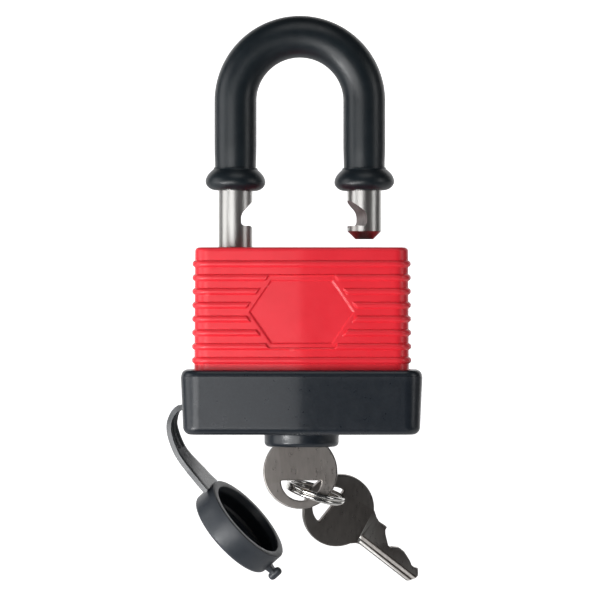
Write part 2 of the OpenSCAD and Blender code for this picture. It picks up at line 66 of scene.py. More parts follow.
# ---- Sizes of the CAD part, in millimetres ----
# x is measured from the plug's axis, z from the underside of the base cover
ROD_R, SLEEVE_R = 4.45, 5.5
HEEL_X, TOE_X = -17.3, 16.4
ARCH_R, ARCH_X, ARCH_Z = 16.85, -0.45, 87.05
SLEEVE_END_Z = 69.3  # tucked a little way into the seals
HOOP_LEG, HOOP_BEND = ARCH_Z - SLEEVE_END_Z, math.pi * ARCH_R
HOOP_LENGTH = 2 * HOOP_LEG + HOOP_BEND
SEAL_R, SEAL_Z = 7.85, 66.6
HEEL_END_Z, NECK_Z, NECK_R, NECK_H = 36.7, 39.7, 2.2, 3.1
TOE_TIP_Z, TOE_BEVEL = 50.9, 2.1
LEDGE_Z, NOTCH_H, NOTCH_SLOPE_H = 54.4, 2.6, 3.2
HEEL_NOTCH, TOE_NOTCH, TOE_NOTCH_TURN = 3.0, 3.75, 18

# Outlines of the body, as body_outline takes them
JACKET = dict(a=28.0, b=14.3, c=15.5, r=4.0)
JACKET_TOP, JACKET_LOW = 48.7, 2.1
DRAFT = 0.3
RIBS, RIB_PITCH, RIB_FIRST, RIB_OUT, RIB_HALF = 8, 3.58, 44.4, 0.65, 0.82
PANEL_Z, PANEL_W, PANEL_EDGE, PANEL_H = 31.9, 13.7, 8.0, 8.3
PANEL_MARGIN, PANEL_SUNK = 1.15, 0.38
STACK_W, STACK_D, STACK_TOP = 50.3, 26.2, 46.55

BASE = dict(a=31.4, b=17.2, c=18.4, r=5.0)
CUP_PLAY = 0.1
BASE_H, CUP_FLOOR, BASE_RIM = 16.8, 2.0, 1.7
BOSS_R, BOSS_H, MOUTH_R = 9.75, 3.4, 8.25
STRAP_ROOT = (-30.3, 7.0)

KEY_R, KEY_T = 9.75, 1.9
KEY_BACK, KEY_SHOULDER, KEY_PIN, KEY_TIP = 3.57, 13.2, 17.7, 29.3
KEY_CUTS = (4.4, 5.76, 5.1, 4.1)  # how deep each cut lies below the back of the blade
GROOVE_LOW = 9.2
LOCK_KEY_AT = (-0.35, 0.0, -9.95)
SPARE_AT, SPARE_ROLL, SPARE_LEAN = (9.6, 11.7, -20.4), 128.5, -20.0
RING_AT, RING_DIP, RING_TIP, RING_R, RING_WIRE_R = (3.7, 4.0, -15.5), 17.0, 7.0, 7.55, 0.58

CAP_AT, CAP_ROLL, CAP_TILT = (-13.95, 0.0, -22.25), 47.7, 16.0
CAP_R, CAP_H, CAP_WALL, CAP_FLOOR = 13.0, 7.0, 2.05, 1.5
STRAP_T = 1.55
# Front edge of the strap from its root to the cap: x, z, width, twist in degrees
STRAP = [
    (-31.9, 6.85, 6.4, 0), (-32.8, 6.3, 6.4, 4), (-33.8, 5.1, 6.4, 9), (-34.6, 3.1, 6.6, 13),
    (-34.7, 0.9, 6.8, 16), (-34.1, -1.8, 7.2, 17), (-32.8, -5.0, 7.8, 17.5),
    (-31.3, -7.4, 8.4, 18), (-29.7, -9.5, 9.2, 18), (-28.2, -11.3, 10.2, 17),
    (-26.6, -13.2, 11.2, 16), (-25.0, -15.0, 12.0, 16),
]

# ---- Details that only the visual model has ----
# The rounded mouth of a hole, in millimetres: how much wider it is, and at what depth
MOUTH_ROUNDING = ((0.25, 0.0), (0.07, 0.08), (0.0, 0.3))
# Edges that turn by more than this many degrees stay crisp
CRISP, KEY_CRISP = 32, 12
# Pointiness at which an edge starts to take its lighter edge colour, and at which it has it fully;
# the lighter edges are partly wear and partly painted highlight
WEAR_AND_HIGHLIGHT_FROM, WEAR_AND_HIGHLIGHT_TO = 0.515, 0.60

# ---- Placement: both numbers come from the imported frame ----
_plug_lo, _plug_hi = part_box("plug")
AXIS_X = (_plug_lo.x + _plug_hi.x) / 2
BASE_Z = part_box("base_cover")[1].z - BASE_H * MM


def place(x, y, z):
    """A point of the design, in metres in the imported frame."""
    return Vector((AXIS_X + x * MM, y * MM, BASE_Z + z * MM))


def turned(at, *turns):
    """Matrix that carries a piece drawn in millimetres at the origin to where it hangs."""
    m = Matrix.Translation(place(*at))
    for axis, degrees in turns:
        m = m @ Matrix.Rotation(math.radians(degrees), 4, axis)
    return m @ Matrix.Scale(MM, 4)


UPRIGHT = turned((0, 0, 0))
CAP_TURN = turned(CAP_AT, ("Y", CAP_ROLL), ("X", CAP_TILT))


def smoothstep(low, high, v):
    """Rises smoothly from 0 at low to 1 at high."""
    t = min(max((v - low) / (high - low), 0.0), 1.0)
    return t * t * (3 - 2 * t)


def between(points, i, f):
    """The point a fraction f past point i, on the smooth curve through all the points."""
    last = len(points) - 1
    near = (points[min(max(i + k, 0), last)] for k in (-1, 0, 1, 2))
    return tuple(0.5 * (2 * b + (c - a) * f + (2 * a - 5 * b + 4 * c - d) * f * f
                        + (3 * b - a - 3 * c + d) * f ** 3) for a, b, c, d in zip(*near))


def smoothed(points, steps):
    """The same points with a smooth curve drawn through them."""
    return [between(points, i, k / steps)
            for i in range(len(points) - 1) for k in range(steps)] + [points[-1]]


def around(n):
    """The n angles of points spaced evenly round a circle."""
    return [2 * math.pi * k / n for k in range(n)]


# ---- Mesh building ----
class Solid:
    """Rings of points joined into one closed mesh, drawn in millimetres, carried by a matrix."""

    def __init__(self, matrix=UPRIGHT):
        self.bm = bmesh.new()
        self.matrix = matrix

    def ring(self, points):
        return [self.bm.verts.new(p) for p in points]

    def join(self, a, b):
        n = len(a)
        for i in range(n):
            self.bm.faces.new((a[i], a[(i + 1) % n], b[(i + 1) % n], b[i]))

    def skin(self, rows):
        """Joins rows of points in turn and returns the first and last ring."""
        rings = [self.ring(r) for r in rows]
        for a, b in zip(rings, rings[1:]):
            self.join(a, b)
        return rings[0], rings[-1]

    def tube(self, rows):
        """Skins the rows and joins the last one to the first."""
        first, last = self.skin(rows)
        self.join(last, first)

    def closed(self, rows):
        """Skins the rows and closes both ends."""
        for end in self.skin(rows):
            self.fill(end)

    def fill(self, *loops):
        """Closes a flat region whose border is one loop, with the other loops as holes in it."""
        edges = []
        for loop in loops:
            for i, v in enumerate(loop):
                w = loop[(i + 1) % len(loop)]
                edges.append(self.bm.edges.get((v, w)) or self.bm.edges.new((v, w)))
        bmesh.ops.triangle_fill(self.bm, use_beauty=True, use_dissolve=False, edges=edges)

    def as_object(self, name):
        """The mesh as an object in its place, without a finish."""
        bmesh.ops.recalc_face_normals(self.bm, faces=self.bm.faces)
        mesh = bpy.data.meshes.new(name)
        self.bm.to_mesh(mesh)
        self.bm.free()
        mesh.transform(self.matrix)
        obj = bpy.data.objects.new(name, mesh)
        bpy.context.scene.collection.objects.link(obj)
        return obj

    def finish(self, name, finish, body, nodes=(), sharp=CRISP):
        """The mesh as a piece: its finish, the body it rides on and the CAD nodes it replaces."""
        obj = self.as_object(name)
        mesh = obj.data
        mesh.shade_smooth()
        mesh.set_sharp_from_angle(angle=math.radians(sharp))
        mesh.materials.append(finish["material"])
        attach(obj, body)
        if nodes:
            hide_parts(*nodes)
        return obj


def circle(x, y, z, r, n=64):
    return [(x + r * math.cos(t), y + r * math.sin(t), z) for t in around(n)]


def carve(obj, tool, sharp=CRISP):
    """Cuts one closed mesh out of another, for good."""
    m = obj.modifiers.new("cut", "BOOLEAN")
    m.operation, m.solver, m.object = "DIFFERENCE", "EXACT", tool
    m.material_mode = "TRANSFER"
    bpy.context.view_layer.update()
    cut = bpy.data.meshes.new_from_object(obj.evaluated_get(bpy.context.evaluated_depsgraph_get()))
    obj.modifiers.clear()
    obj.data = cut
    bpy.data.objects.remove(tool)
    cut.shade_smooth()
    cut.set_sharp_from_angle(angle=math.radians(sharp))


def cutter(rows, matrix=UPRIGHT):
    """A closed mesh used only to cut another."""
    s = Solid(matrix)
    s.closed(rows)
    return s.as_object("cutter")


# ---- Materials ----
def node(tree, kind, **inputs):
    """A new shader node with some of its inputs set."""
    n = tree.nodes.new(kind)
    for key, value in inputs.items():
        n.inputs[key.replace("_", " ")].default_value = value
    return n


def noise(tree, coords, scale, detail=4.0, stretch=None):
    """Noise over the piece's own coordinates, in metres; stretch draws it out along an axis."""
    tex = node(tree, "ShaderNodeTexNoise", Scale=scale, Detail=detail)
    if stretch:
        mapping = tree.nodes.new("ShaderNodeMapping")
        mapping.inputs["Scale"].default_value = stretch
        tree.links.new(coords, mapping.inputs["Vector"])
        coords = mapping.outputs["Vector"]
    tree.links.new(coords, tex.inputs["Vector"])
    return tex.outputs["Fac"]


def spread(tree, value, low, high, start=0.3, end=0.7):
    """Carries a value from start..end, where most noise lies, to low..high."""
    n = tree.nodes.new("ShaderNodeMapRange")
    for key, v in (("From Min", start), ("From Max", end), ("To Min", low), ("To Max", high)):
        n.inputs[key].default_value = v
    tree.links.new(value, n.inputs["Value"])
    return n.outputs["Result"]


def make_finish(slot, colour, dark, rough, metal=0.0, patch=120, patch_stretch=None,
                rough_scale=500, grain_scale=2500, grain_depth=1e-5, grain_stretch=None, wear_and_highlight=None):
    """A procedural finish: colour that drifts over patches, roughness that varies, fine grain,
    and convex edges lightened to another colour, partly wear and partly painted highlight. The
    scales are per metre, grain_depth is in metres."""
    mat = bpy.data.materials.new(slot)
    mat.use_nodes = True
    tree = mat.node_tree
    shader = next(n for n in tree.nodes if n.type == "BSDF_PRINCIPLED")
    coords = tree.nodes.new("ShaderNodeTexCoord").outputs["Object"]

    def mix(factor, first, second):
        m = tree.nodes.new("ShaderNodeMix")
        m.data_type = "RGBA"
        tree.links.new(factor, m.inputs["Factor"])
        for socket, value in ((m.inputs[6], first), (m.inputs[7], second)):
            if isinstance(value, tuple):
                socket.default_value = (*value, 1)
            else:
                tree.links.new(value, socket)
        return m.outputs[2]

    tone = mix(spread(tree, noise(tree, coords, patch, 5, patch_stretch), 0, 1), dark, colour)
    # convex edges, found by pointiness, turn to a lighter colour: partly wear, partly a painted
    # highlight along the edges
    if wear_and_highlight:
        edge = tree.nodes.new("ShaderNodeNewGeometry").outputs["Pointiness"]
        tone = mix(spread(tree, edge, 0, 1, WEAR_AND_HIGHLIGHT_FROM, WEAR_AND_HIGHLIGHT_TO), tone, wear_and_highlight)
    tree.links.new(tone, shader.inputs["Base Color"])
    tree.links.new(spread(tree, noise(tree, coords, rough_scale, 3, patch_stretch), *rough),
                   shader.inputs["Roughness"])
    bump = tree.nodes.new("ShaderNodeBump")
    bump.inputs["Distance"].default_value = grain_depth
    tree.links.new(noise(tree, coords, grain_scale, 2, grain_stretch), bump.inputs["Height"])
    tree.links.new(bump.outputs["Normal"], shader.inputs["Normal"])
    shader.inputs["Metallic"].default_value = metal
    return {"material": mat, "slot": slot}


RED = make_finish("red_plastic", (0.93, 0.028, 0.046), (0.86, 0.022, 0.038), (0.30, 0.40),
                  grain_scale=3500, grain_depth=4e-6, wear_and_highlight=(0.95, 0.075, 0.09))
BLACK = make_finish("black_plastic", (0.015, 0.020, 0.027), (0.010, 0.0135, 0.019), (0.27, 0.34),
                    patch=1600, grain_scale=3200, grain_depth=3.5e-6, wear_and_highlight=(0.045, 0.049, 0.057))
# a lighter copy of the base's black plastic: painted light for the brightly lit wall of the cap
CAP_BLACK = make_finish("black_plastic", (0.031, 0.037, 0.046), (0.021, 0.026, 0.033), (0.36, 0.46),
                        grain_scale=2600, grain_depth=8e-6, wear_and_highlight=(0.08, 0.083, 0.09))
# the strap is black plastic made light grey: painted highlight standing in for the bright sheen on
# its outer band
STRAP_HIGHLIGHT_GREY = make_finish("black_plastic", (0.155, 0.160, 0.168), (0.120, 0.125, 0.132),
                         (0.20, 0.30), patch=500, grain_scale=2600, grain_depth=6e-6,
                         wear_and_highlight=(0.14, 0.145, 0.15))
VINYL = make_finish("black_vinyl", (0.008, 0.0135, 0.018), (0.006, 0.010, 0.0135), (0.34, 0.42),
                    grain_scale=500, grain_depth=5e-7)
CHROME = make_finish("chromed_steel", (0.54, 0.535, 0.52), (0.42, 0.41, 0.395), (0.30, 0.38), 1.0,
                     patch=900, patch_stretch=(1, 1, 0.08), rough_scale=900, grain_scale=1500,
                     grain_depth=1e-6, grain_stretch=(1, 1, 0.1))
MILLED = make_finish("milled_steel", (0.24, 0.20, 0.195), (0.17, 0.145, 0.14), (0.40, 0.55), 1.0,
                     patch=700, grain_scale=1500, grain_depth=6e-6, grain_stretch=(1, 1, 4))
PLATE = make_finish("plate_steel", (0.52, 0.53, 0.54), (0.40, 0.41, 0.42), (0.28, 0.42), 1.0,
                    grain_scale=1500, grain_depth=4e-6)
SPRING = make_finish("spring_steel", (0.78, 0.765, 0.74), (0.62, 0.61, 0.59), (0.12, 0.22), 1.0,
                     grain_scale=2500, grain_depth=2e-6)
BRASS = make_finish("brass", (0.74, 0.53, 0.24), (0.60, 0.41, 0.17), (0.24, 0.38), 1.0,
                    grain_scale=1800, grain_depth=3e-6)
# darker than bright nickel: painted shade standing in for the dark room that the keys' faces
# reflect
NICKEL = make_finish("key_nickel", (0.21, 0.187, 0.172), (0.165, 0.147, 0.136), (0.27, 0.34), 1.0,
                     patch=420, patch_stretch=(2.5, 2.5, 0.6), rough_scale=700, grain_scale=1600,
                     grain_depth=1.8e-6, grain_stretch=(3, 3, 0.3), wear_and_highlight=(0.80, 0.78, 0.75))


def body_outline(a, b, c, r, n_face=200, n_corner=12, n_side=12, soft=1.3):
    """Points round the six-sided body as (x, y, outward x, outward y).

    a is half its width, b and c are half its depth at the corners and at the middle ridge, r is the
    radius of the corners, and soft is how much the ridge is rounded.
    """
    reach = a - r
    top = math.hypot(reach, soft) - soft

    def face_y(x):
        return c - (c - b) * (math.hypot(x, soft) - soft) / top

    quarter = [(a, (b - r) * k / n_side) for k in range(n_side)]
    quarter += [(a - r + r * math.cos(t), b - r + r * math.sin(t))
                for t in (math.pi / 2 * k / n_corner for k in range(n_corner))]
    quarter += [(x, face_y(x))
                for x in (reach * (1 - k / (n_face / 2)) for k in range(n_face // 2))]
    right = quarter + [(0.0, c)]
    left = [(-x, y) for x, y in reversed(quarter)]
    upper = right + left
    points = upper[:-1] + [(-x, -y) for x, y in upper[:-1]]
    rows = []
    for i, (x, y) in enumerate(points):
        px, py = points[i - 1]
        qx, qy = points[(i + 1) % len(points)]
        size = math.hypot(qx - px, qy - py)
        rows.append((x, y, (qy - py) / size, (px - qx) / size))
    return rows


def offset(outline, out, z):
    """A ring of the outline at height z, standing out by out."""
    return [(x + nx * out, y + ny * out, z) for x, y, nx, ny in outline]


def stack_outline():
    """The rounded rectangle of the steel stack."""
    n, r = 12, 3.0
    return [(sx * (STACK_W / 2 - r) + r * math.cos(t), sy * (STACK_D / 2 - r) + r * math.sin(t))
            for sx, sy, start in ((1, 1, 0), (-1, 1, 90), (-1, -1, 180), (1, -1, 270))
            for t in (math.radians(start + 90 * k / n) for k in range(n + 1))]


def panel_distance(x, z):
    """Distance from the edge of the hexagon panel: negative inside it."""
    slope = math.hypot(PANEL_W - PANEL_EDGE, PANEL_H)
    slanted = ((abs(x) - PANEL_W) * PANEL_H + abs(z - PANEL_Z) * (PANEL_W - PANEL_EDGE)) / slope
    return max(abs(z - PANEL_Z) - PANEL_H, slanted)


def rib_height(z):
    """Rounded ribs: how far the jacket stands out at height z."""
    nearest = min(abs(z - (RIB_FIRST - i * RIB_PITCH)) for i in range(RIBS))
    t = nearest / RIB_HALF
    return RIB_OUT * (1 - t ** 2.6) ** 0.62 if t < 1 else 0.0


def build_jacket():
    """The red cover: ribs, a sunk hexagon on each face without ribs in it, and the legs' holes."""
    outline = body_outline(**JACKET)
    rounding = 1.0
    round_z = JACKET_TOP - rounding
    lip = 0.28  # width of the slope round the sunk panel
    facing = 0.9  # an outward normal with more than this much y belongs to a front or back face
    leg_gap = 0.3

    def row(z):
        lean = DRAFT * (z - JACKET_LOW) / (JACKET_TOP - JACKET_LOW)
        inset = 0.0
        if z > round_z:
            inset = rounding - math.sqrt(max(rounding ** 2 - (z - JACKET_TOP + rounding) ** 2, 0))
        rib = rib_height(z)

        def out(x, ny):
            if abs(ny) <= facing:
                return rib - lean - inset
            d = panel_distance(x, z)
            sunk = PANEL_SUNK * (1 - smoothstep(-lip, 0.0, d))
            return rib * smoothstep(PANEL_MARGIN - 0.2, PANEL_MARGIN + 0.1, d) - sunk - lean - inset

        return [(x + nx * out(x, ny), y + ny * out(x, ny), z) for x, y, nx, ny in outline]

    # few rows below the ribs, then close ones, then the rounded top edge
    fine_z, step = 16.0, 0.17
    count = int((round_z - fine_z) / step)
    heights = [JACKET_LOW, 9.0, 15.0] + [fine_z + i * (round_z - fine_z) / count
                                         for i in range(count)]
    heights += [round_z + rounding * math.sin(math.radians(15 * k)) for k in range(7)]
    s = Solid()
    bottom, top = s.skin([row(z) for z in heights])
    holes_top, holes_in = [], []
    for x in (HEEL_X, TOE_X):
        r = ROD_R + leg_gap
        a, b = s.skin([circle(x, 0, JACKET_TOP - deep, r + out) for out, deep in MOUTH_ROUNDING]
                      + [circle(x, 0, STACK_TOP, r)])
        holes_top.append(a)
        holes_in.append(b)
    s.fill(top, *holes_top)
    inner_low, inner_top = s.skin([[(x, y, z) for x, y in stack_outline()]
                                   for z in (JACKET_LOW, STACK_TOP)])
    s.fill(inner_top, *holes_in)
    s.fill(bottom, inner_low)
    return s.finish("jacket_shell", RED, "lock_body", ["jacket"])


def build_base():
    """The black cover: a cup for the jacket, the boss round the keyway, the strap's socket."""
    outline = body_outline(**BASE, n_face=80, n_corner=20, soft=1.6)
    edge, draft, step, rim_in, rim_r, boss_edge = 2.1, 0.6, 0.06, 0.10, 1.25, 1.3
    # how far each row stands out, and its height: bottom rounding, wall, rolled rim
    rows = [(-draft - edge + edge * math.sin(math.radians(10 * k)),
             edge - edge * math.cos(math.radians(10 * k))) for k in range(10)]
    wall = BASE_H - BASE_RIM
    rows += [(-draft + draft * k / 12, edge + (wall - edge) * k / 12) for k in range(1, 13)]
    rows += [(-rim_in, wall + step)]
    rows += [(-rim_in - rim_r * (1 - math.cos(math.radians(t))),
              wall + step + (BASE_RIM - step) * math.sin(math.radians(t)))
             for t in range(10, 91, 10)]
    s = Solid()
    bottom, top = s.skin([offset(outline, out, z) for out, z in rows])
    cup = body_outline(*(JACKET[k] + CUP_PLAY for k in "abc"), JACKET["r"], n_face=80, n_corner=20)
    cup_top, cup_low = s.skin([offset(cup, out, BASE_H - deep) for out, deep in MOUTH_ROUNDING]
                              + [offset(cup, 0.0, CUP_FLOOR)])
    s.fill(top, cup_top)
    # radius and height: fillet under the base, wall, rounded end, mouth of the keyway
    boss = [(BOSS_R + 0.45, 0.0), (BOSS_R + 0.16, -0.10), (BOSS_R, -0.45)]
    boss += [(BOSS_R - boss_edge * (1 - math.cos(math.radians(t))),
              -BOSS_H + boss_edge - boss_edge * math.sin(math.radians(t)))
             for t in range(0, 76, 15)]
    boss += [(MOUTH_R + 0.2, -BOSS_H), (MOUTH_R, -BOSS_H + 0.2), (MOUTH_R, CUP_FLOOR)]
    boss_top, mouth_top = s.skin([circle(0, 0, z, r, 96) for r, z in boss])
    s.fill(bottom, boss_top)
    s.fill(cup_low, mouth_top)
    obj = s.finish("base_shell", BLACK, "lock_body", ["base_cover"])
    # the socket: x, and half its height there
    socket = [(-34.2, 5.3), (-30.75, 0.75), (-30.0, 1.38), (-29.2, 0.9), (-28.95, 0)]
    shape = [(x, STRAP_ROOT[1] + h) for x, h in socket]
    shape += [(x, STRAP_ROOT[1] - h) for x, h in reversed(socket[:-1])]
    carve(obj, cutter([[(x, y, z) for x, z in shape] for y in (-3.5, 3.5)]))
    return obj


def hoop_point(s):
    """Centre line of the shackle: s is the distance along it from the heel's sleeve end."""
    if s <= HOOP_LEG:
        return (HEEL_X, SLEEVE_END_Z + s), (0.0, 1.0)
    if s <= HOOP_LEG + HOOP_BEND:
        t = math.pi - (s - HOOP_LEG) / ARCH_R
        return ((ARCH_X + ARCH_R * math.cos(t), ARCH_Z + ARCH_R * math.sin(t)),
                (math.sin(t), -math.cos(t)))
    return (TOE_X, ARCH_Z - (s - HOOP_LEG - HOOP_BEND)), (0.0, -1.0)


def hoop_ring(s, r, n=64):
    """A ring of radius r square to the shackle's centre line."""
    (x, z), (tx, tz) = hoop_point(s)
    return [(x - tz * r * math.cos(t), r * math.sin(t), z + tx * r * math.cos(t))
            for t in around(n)]


def notch_cutter(x, depth, turn):
    """Cutter for a catch notch: rounded ledge below, round pocket, slope that runs out above."""
    def arc(cx, cz, r, start, end, n=8):
        return [(cx + r * math.cos(t), cz + r * math.sin(t))
                for t in (math.radians(start + (end - start) * k / n) for k in range(n + 1))]

    wall, edge, pocket, bend = ROD_R - depth, 0.9, 1.1, 3.0
    outside = ROD_R + 5
    lean = math.degrees(math.atan2(NOTCH_SLOPE_H, depth))
    profile = [(outside, LEDGE_Z - 3), (ROD_R + 0.05, LEDGE_Z - 3)]
    profile += arc(ROD_R - edge + 0.05, LEDGE_Z - edge, edge, 0, 90)
    profile += arc(wall + pocket, LEDGE_Z + pocket, pocket, 270, 180)
    profile += arc(wall + bend, LEDGE_Z + NOTCH_H - 0.6, bend, 180, 90 + lean)
    last_x, last_z = profile[-1]
    profile += [(outside, last_z + (outside - last_x) * math.tan(math.radians(lean)))]
    obj = cutter([[(px, y, pz) for px, pz in profile] for y in (-7, 7)],
                 turned((x, 0, 0), ("Z", turn)))
    obj.data.materials.append(MILLED["material"])
    return obj


def build_shackle():
    """The bare rod: heel with its neck, both legs and the arch, and the bevelled toe."""
    s = Solid()
    heel = [(ROD_R - 0.3, HEEL_END_Z), (ROD_R, HEEL_END_Z + 0.3), (ROD_R, NECK_Z), (NECK_R, NECK_Z),
            (NECK_R, NECK_Z + NECK_H), (ROD_R, NECK_Z + NECK_H + ROD_R - NECK_R)]
    rows = []
    for r, z in heel:
        # turned over, because the rings of the hoop run the other way round where it starts
        row = [(x, -y, z) for x, y, z in circle(HEEL_X, 0, z, r)]
        half = len(row) // 2
        rows.append(row[half:] + row[:half])
    rows += [hoop_ring(HOOP_LENGTH * k / 90, ROD_R) for k in range(91)]
    toe = [(ROD_R, TOE_TIP_Z + TOE_BEVEL), (ROD_R - TOE_BEVEL, TOE_TIP_Z)]
    rows += [circle(TOE_X, 0, z, r) for r, z in toe]
    s.closed(rows)
    obj = s.finish("shackle_rod", CHROME, "shackle", ["shackle"])
    carve(obj, notch_cutter(HEEL_X, HEEL_NOTCH, 0))
    carve(obj, notch_cutter(TOE_X, TOE_NOTCH, 180 + TOE_NOTCH_TURN))
    return obj


def build_sleeve():
    """The vinyl tube over the bare rod, a little thinner towards its two ends."""
    steps = 150
    thinner, end_part, play = 0.14, 6.0, 0.02
    along = [HOOP_LENGTH * k / steps for k in range(steps + 1)]

    def radius(at):
        end = min(at, HOOP_LENGTH - at)
        return SLEEVE_R - thinner * (1 - smoothstep(0.0, end_part, end))

    s = Solid()
    outer = [hoop_ring(at, radius(at)) for at in along]
    inner = [hoop_ring(at, ROD_R + play) for at in along]
    s.tube(outer + inner[::-1])
    return s.finish("sleeve", VINYL, "shackle", ["shackle_sleeve"])


def build_seals():
    """A soft bulging washer at each end of the sleeve, pushed a little askew on its leg."""
    # radius and height: the neck, the bulging skirt, the underside
    profile = [(ROD_R + 0.03, 3.02), (SLEEVE_R + 0.10, 3.0), (SLEEVE_R + 0.22, 2.90),
               (SLEEVE_R + 0.26, 2.72), (5.86, 2.5), (6.28, 2.12), (6.75, 1.66), (7.2, 1.12),
               (7.54, 0.52), (7.76, -0.1), (SEAL_R, -0.75), (7.72, -1.35), (7.38, -1.92),
               (6.86, -2.42), (6.2, -2.78), (5.5, -2.96), (ROD_R + 0.35, -3.0),
               (ROD_R + 0.03, -2.7)]
    for name, x, tilt in (("seal_heel", HEEL_X, 1.2), ("seal_toe", TOE_X, -1.2)):
        s = Solid(turned((x, 0, SEAL_Z), ("Y", tilt)))
        s.tube([circle(0, 0, z, r, 72) for r, z in smoothed(profile, 3)])
        # both washers together stand for the CAD node
        s.finish(name, VINYL, "shackle", ["shackle_seals"])


def cross(p, q, r):
    """Where the segment p-q crosses the circle of radius r about the origin."""
    dx, dy = q[0] - p[0], q[1] - p[1]
    a, b, c = dx * dx + dy * dy, 2 * (p[0] * dx + p[1] * dy), p[0] ** 2 + p[1] ** 2 - r * r
    root = math.sqrt(b * b - 4 * a * c)
    t = next(t for t in ((-b - root) / (2 * a), (-b + root) / (2 * a)) if 0 <= t <= 1)
    return p[0] + t * dx, p[1] + t * dy


def key_outline():
    """Outline of a key, counter-clockwise: bow, back of the blade, tip, cuts, shoulder."""
    b, u = KEY_BACK, KEY_PIN
    cuts = [b - c for c in KEY_CUTS]
    blade = [(b + 0.4, 9.6), (b + 0.08, 10.4), (b, 11.2), (b, KEY_TIP - 1.9),
             (b - 0.35, KEY_TIP - 1.25), (b - 2.2, KEY_TIP), (b - 3.0, KEY_TIP - 0.1),
             (b - 3.4, KEY_TIP - 0.4), (b - 4.5, KEY_TIP - 1.4), (cuts[3], u + 9.5),
             (cuts[3], u + 8.3), (cuts[2] + 0.4, u + 7.2), (cuts[2], u + 6.2), (cuts[1], u + 4.1),
             (cuts[1], u + 2.4), (b - 4.9, u + 0.9), (cuts[0], u + 0.5), (cuts[0], u - 0.5),
             (b - 5, u - 1.3), (b - 6.4, KEY_SHOULDER + 1.3), (b - 7.2, KEY_SHOULDER + 0.6),
             (b - 8, KEY_SHOULDER + 0.5), (b - 8.1, KEY_SHOULDER), (b - 7.9, KEY_SHOULDER - 2.2),
             (b - 8.4, 9.6), (b - 9.4, 8.0)]
    start = cross((5.4, 7.9), blade[0], KEY_R)
    end = cross(blade[-1], (b - 10, 4.0), KEY_R)
    a0, a1 = math.atan2(end[1], end[0]), math.atan2(start[1], start[0]) + 2 * math.pi
    n = 84
    arc = [(KEY_R * math.cos(t), KEY_R * math.sin(t))
           for t in (a0 + (a1 - a0) * k / n for k in range(n + 1))]
    return arc + blade


def slot_outline():
    """The D-shaped slot, flat side towards the blade, its two corners rounded."""
    cx, cy, r, flat = 0.2, -2.3, 5.25, -2.3
    corner = 0.5
    n = 40
    arc = [(cx + r * math.cos(t), cy + r * math.sin(t))
           for t in (math.radians(186 + 168 * k / n) for k in range(n + 1))]
    right = [(cx + r - 0.02, flat - 0.25), (cx + r - 0.16, flat - 0.07), (cx + r - corner, flat)]
    left = [(2 * cx - x, y) for x, y in reversed(right)]
    return arc + right + left


def inset(points, d):
    """The closed outline moved to its left by d, with mitred corners."""
    n = len(points)
    result = []
    for i, (x, y) in enumerate(points):
        px, py = points[i - 1]
        qx, qy = points[(i + 1) % n]
        ux, uy = x - px, y - py
        vx, vy = qx - x, qy - y
        ul, vl = math.hypot(ux, uy), math.hypot(vx, vy)
        n1, n2 = (-uy / ul, ux / ul), (-vy / vl, vx / vl)
        mx, my = n1[0] + n2[0], n1[1] + n2[1]
        k = d / max(1 + n1[0] * n2[0] + n1[1] * n2[1], 0.6)
        result.append((x + mx * k, y + my * k))
    return result


def build_key(name, matrix, body, node_name):
    """A stamped key: rounded rim and slot, milled cuts, and two grooves down its front face."""
    rim = 0.34
    half = KEY_T / 2
    steps = [(rim * (1 - math.cos(math.radians(t))), half - rim + rim * math.sin(math.radians(t)))
             for t in (90, 60, 30, 0)]
    profile = steps + [(d, -y) for d, y in reversed(steps)]
    s = Solid(matrix)

    def wall(points, side):
        # both outlines run counter-clockwise, so the key's metal is to the left of the rim
        # and to the right of the slot
        return s.skin([[(x, y, z) for x, z in inset(points, side * d)] for d, y in profile])

    rim_back, rim_front = wall(key_outline(), 1)
    slot_back, slot_front = wall(slot_outline(), -1)
    s.fill(rim_back, slot_back)
    s.fill(rim_front, slot_front)
    obj = s.finish(name, NICKEL, body, [node_name], sharp=KEY_CRISP)
    # each groove has a steep wall, and a ramp that faces the cuts; the three numbers are its
    # distance from the back of the blade, its width, and where it starts
    for near, wide, low in ((0.30, 0.85, GROOVE_LOW + 0.8), (1.30, 1.15, GROOVE_LOW)):
        deep, shallow = KEY_BACK - near - wide, KEY_BACK - near
        rise = 0.5 * wide
        section = [(deep - 0.06, -half - 0.3), (shallow + 0.75, -half - 0.3),
                   (shallow, -half), (deep, -half + rise)]
        carve(obj, cutter([[(x, y, low) for x, y in section],
                           [(x, y, KEY_TIP + 2) for x, y in section]], matrix), sharp=KEY_CRISP)
    return obj


def build_ring():
    """Split ring: two turns of one wire side by side, which crosses over half way along."""
    turns, per_turn, n = 2, 72, 14
    count = turns * per_turn
    pitch = 1.10
    end_size = 0.72  # the wire's ends are this much of its thickness
    s = Solid(turned(RING_AT, ("Y", RING_DIP), ("X", RING_TIP)))
    rows = []
    for k in range(count + 1):
        angle = 2 * math.pi * k / per_turn
        rise = pitch * smoothstep(0.44, 0.56, k / count) - pitch / 2
        end = min(k, count - k) / 2.0
        wire = RING_WIRE_R * (end_size + 0.28 * min(end, 1.0))
        rows.append([((RING_R + wire * math.cos(t)) * math.cos(angle),
                      (RING_R + wire * math.cos(t)) * math.sin(angle), rise + wire * math.sin(t))
                     for t in around(n)])
    s.closed(rows)
    return s.finish("key_ring", SPRING, "split_ring", ["split_ring"])


